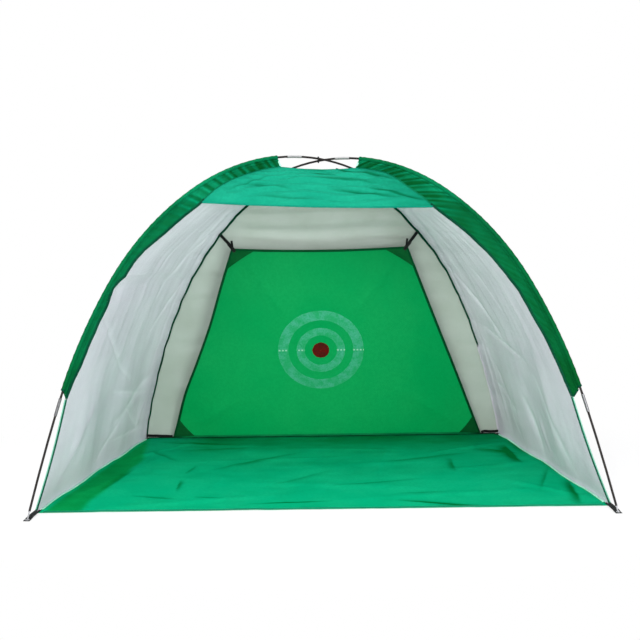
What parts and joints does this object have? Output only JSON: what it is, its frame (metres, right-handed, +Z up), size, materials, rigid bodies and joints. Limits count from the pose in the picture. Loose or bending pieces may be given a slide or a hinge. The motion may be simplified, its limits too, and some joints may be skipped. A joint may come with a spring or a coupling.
{
  "type": "golf chipping net",
  "caption": "Free-standing golf chipping net: two crossing arched poles carry green cloth, fine netting, a ground sheet and a target cloth printed with rings.",
  "frame": {"origin": "on the ground, under the middle of the floor sheet", "axes": "+Z up, -Y out of the open front that balls are hit into, +X to the right seen from that front"},
  "size_m": [2.0345, 1.1775, 1.234],
  "materials": {
    "pole_black": "gloss",
    "ferrule_steel": "satin",
    "tip_steel": "satin",
    "cord_elastic": "matt",
    "sleeve_cloth": "matt",
    "binding_cloth": "matt",
    "crown_cloth": "matt",
    "floor_cloth": "matt",
    "floor_piping": "matt",
    "net_white": "matt",
    "target_cloth": "matt",
    "patch_cloth": "matt",
    "ring_print": "matt",
    "bullseye_print": "matt",
    "black_webbing": "matt",
    "eyelet_steel": "satin"
  },
  "bodies": {
    "frame": {"pole_left_sections": "pole_black", "pole_left_ferrules": "ferrule_steel", "pole_left_tips": "tip_steel", "pole_left_shock_cord": "cord_elastic", "pole_right_sections": "pole_black", "pole_right_ferrules": "ferrule_steel", "pole_right_tips": "tip_steel", "pole_right_shock_cord": "cord_elastic", "crossing_tie": "black_webbing", "sleeve_left": "sleeve_cloth", "sleeve_right": "sleeve_cloth", "sleeve_piping_left": "binding_cloth", "sleeve_piping_right": "binding_cloth", "crown": "crown_cloth", "crown_hem": "binding_cloth", "side_net_left": "net_white", "side_net_right": "net_white", "back_net": "net_white", "front_binding_left": "binding_cloth", "front_binding_right": "binding_cloth", "back_seam_left": "binding_cloth", "back_seam_right": "binding_cloth", "tie_loops_left": "binding_cloth", "tie_loops_right": "binding_cloth", "floor_sheet": "floor_cloth", "floor_front_hem": "binding_cloth", "floor_edge_left": "floor_piping", "floor_edge_right": "floor_piping", "floor_edge_back": "binding_cloth", "corner_tab_front_left": "black_webbing", "corner_tab_front_right": "black_webbing", "corner_tab_back_left": "black_webbing", "corner_tab_back_right": "black_webbing", "corner_eyelets": "eyelet_steel", "strap_bottom_left": "black_webbing", "strap_bottom_right": "black_webbing"},
    "target": {"target_cloth": "target_cloth", "target_edge_binding": "binding_cloth", "target_corner_patches": "patch_cloth", "target_rings": "ring_print", "target_bullseye": "bullseye_print", "target_hanger_tabs": "black_webbing"},
    "strap_left": {"strap_top_left": "black_webbing"},
    "strap_right": {"strap_top_right": "black_webbing"}
  },
  "joints": [
    {"name": "target_fold", "type": "hinge", "parent": "frame", "child": "target", "pos_m": [0, 0.503, 0.008], "axis": [1, 0, 0], "range_deg": [0, 72]},
    {"name": "strap_left_swing", "type": "hinge", "parent": "frame", "child": "strap_left", "pos_m": [-0.41192, 0.28828, 0.92177], "axis": [0.5834, -0.2766, 0.7637], "range_deg": [0, 8]},
    {"name": "strap_right_swing", "type": "hinge", "parent": "frame", "child": "strap_right", "pos_m": [0.41217, 0.28844, 0.93005], "axis": [0.6579, 0.2864, -0.6965], "range_deg": [0, 8]}
  ]
}
